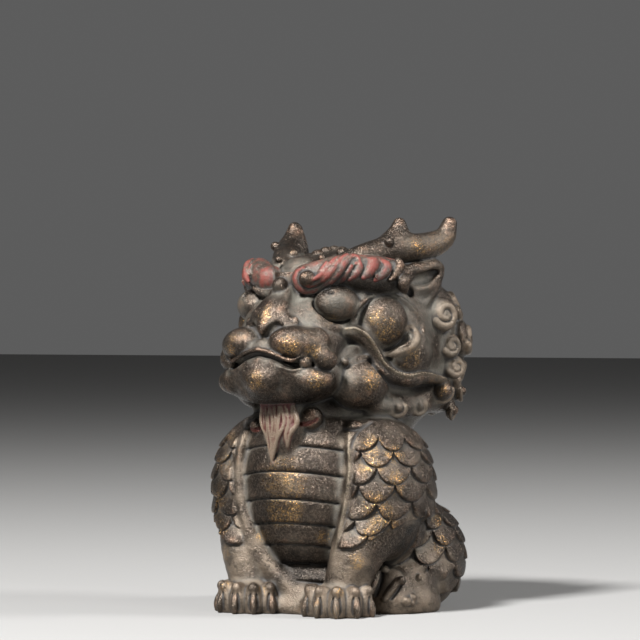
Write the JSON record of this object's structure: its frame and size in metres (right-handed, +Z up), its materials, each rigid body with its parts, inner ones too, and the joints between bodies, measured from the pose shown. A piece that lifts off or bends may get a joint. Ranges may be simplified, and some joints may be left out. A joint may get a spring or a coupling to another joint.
{
  "type": "qilin figure",
  "caption": "Small seated qilin cast in bronze: lion-like head with swept-back horns and curled mane, banded belly, scaled body and clawed paws, on a flat underside.",
  "frame": {"origin": "in the flat underside that the figure rests on, below the middle of the body", "axes": "+Z up through the head, the chest and face towards -Y, the beast's own left side towards +X"},
  "size_m": [0.0351, 0.0418, 0.0602],
  "materials": {
    "bronze": "dark brown patina, worn to metal on the high points, grey dust in the hollows, red pigment on brows and beard"
  },
  "bodies": {
    "root": {"qilin_figure": "bronze"}
  },
  "joints": []
}
